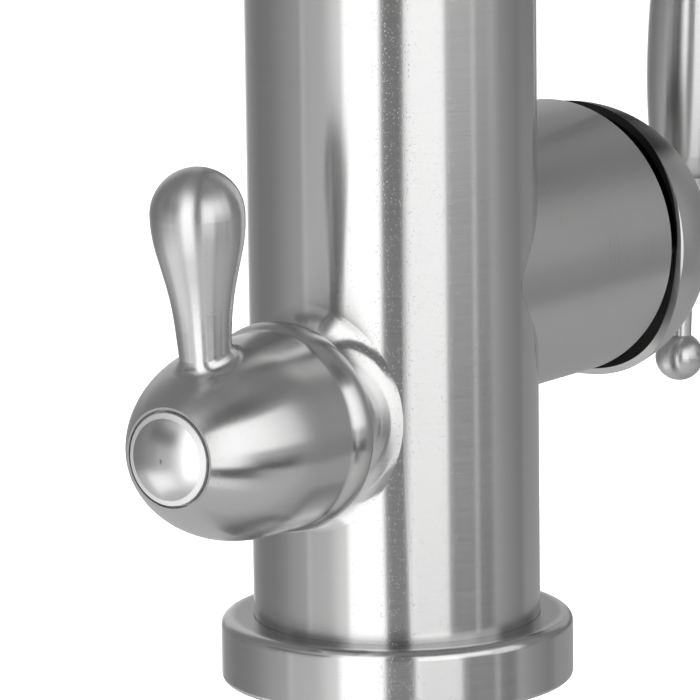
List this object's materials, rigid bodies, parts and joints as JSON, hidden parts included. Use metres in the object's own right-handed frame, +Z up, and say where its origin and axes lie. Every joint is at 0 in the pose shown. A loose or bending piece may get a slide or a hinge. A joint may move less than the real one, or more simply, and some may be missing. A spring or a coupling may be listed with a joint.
{
  "type": "kitchen mixer tap",
  "caption": "Deck-mounted kitchen tap with a round column, swan-neck spout, a lever mixer on a side stub and a bell-shaped lever valve for filtered water.",
  "frame": {"origin": "on the column's axis, level with the worktop (the underside of the base ring)", "axes": "+Z up along the column, +X along the mixer stub, -X along the filtered-water valve, -Y to the front, where the spout points"},
  "size_m": [0.1566, 0.2312, 0.4255],
  "materials": {
    "satin_steel": "fine satin brushing",
    "polished_steel": "polished",
    "plain_steel": "plain machined",
    "brass": "machined",
    "copper_pipe": "drawn tube",
    "black_rubber": "moulded",
    "white_plastic": "moulded",
    "grey_plastic": "moulded",
    "ceramic": "lapped"
  },
  "bodies": {
    "tap_body": {"body_column": "satin_steel", "mixer_stub": "satin_steel", "base_ring": "satin_steel", "base_gasket": "black_rubber", "threaded_shank": "plain_steel", "clamp_gasket": "black_rubber", "clamp_washer": "plain_steel", "back_nut": "plain_steel", "inlet_manifold": "brass", "hot_pipe": "copper_pipe", "cold_pipe": "copper_pipe", "filter_feed_pipe": "copper_pipe", "mixed_pipe": "copper_pipe", "filter_riser": "copper_pipe", "top_insert": "brass", "shoulder_cap": "satin_steel", "swivel_bush_lower": "white_plastic", "swivel_bush_upper": "white_plastic", "spout_grub_screw": "plain_steel", "cartridge_holder": "brass", "cartridge_housing": "white_plastic", "port_seal_hot": "black_rubber", "port_seal_cold": "black_rubber", "port_seal_mixed": "black_rubber", "fixed_disc": "ceramic", "cartridge_nut": "brass", "filter_valve_block": "brass", "filter_headwork": "brass", "filter_seat_seal": "black_rubber", "filter_fixed_disc": "ceramic", "spindle_oring": "black_rubber"},
    "spout": {"spout_tube": "satin_steel", "spout_tail": "brass", "spout_oring_lower": "black_rubber", "spout_oring_upper": "black_rubber", "spout_collar": "satin_steel", "inner_filter_tube": "grey_plastic", "nozzle_housing": "satin_steel", "aerator_insert": "grey_plastic", "aerator_washer": "black_rubber", "filter_nozzle": "plain_steel"},
    "mixer_rotor": {"stem_carrier": "grey_plastic", "pivot_pin": "plain_steel"},
    "mixer_disc": {"moving_disc": "ceramic", "disc_carrier": "grey_plastic"},
    "mixer_handle": {"cartridge_stem": "brass", "mixer_dome": "satin_steel", "dome_set_screw": "plain_steel", "mixer_lever": "satin_steel", "lever_screw": "plain_steel", "finial": "satin_steel"},
    "filter_control": {"filter_spindle": "brass", "filter_moving_disc": "ceramic", "filter_handle": "satin_steel", "handle_screw": "plain_steel", "index_cap": "polished_steel"}
  },
  "joints": [
    {"name": "spout_swivel", "type": "hinge", "parent": "tap_body", "child": "spout", "pos_m": [0, 0, 0.13], "axis": [0, 0, 1], "continuous": true},
    {"name": "mixer_turn", "type": "hinge", "parent": "tap_body", "child": "mixer_rotor", "pos_m": [0.026, 0, 0.0633], "axis": [1, 0, 0], "range_deg": [-45, 45]},
    {"name": "mixer_tilt", "type": "hinge", "parent": "mixer_rotor", "child": "mixer_handle", "pos_m": [0.026, 0, 0.0633], "axis": [0, 1, 0], "range_deg": [0, 11]},
    {"name": "disc_slide", "type": "slide", "parent": "mixer_rotor", "child": "mixer_disc", "axis": [0, 0, 1], "range_m": [0, 0.0011]},
    {"name": "filter_turn", "type": "hinge", "parent": "tap_body", "child": "filter_control", "pos_m": [-0.04, 0, 0.0446], "axis": [1, 0, 0], "range_deg": [0, 90]}
  ],
  "couplings": [
    {"joint": "disc_slide", "follows": "mixer_tilt", "m_per_rad": 0.00529}
  ]
}
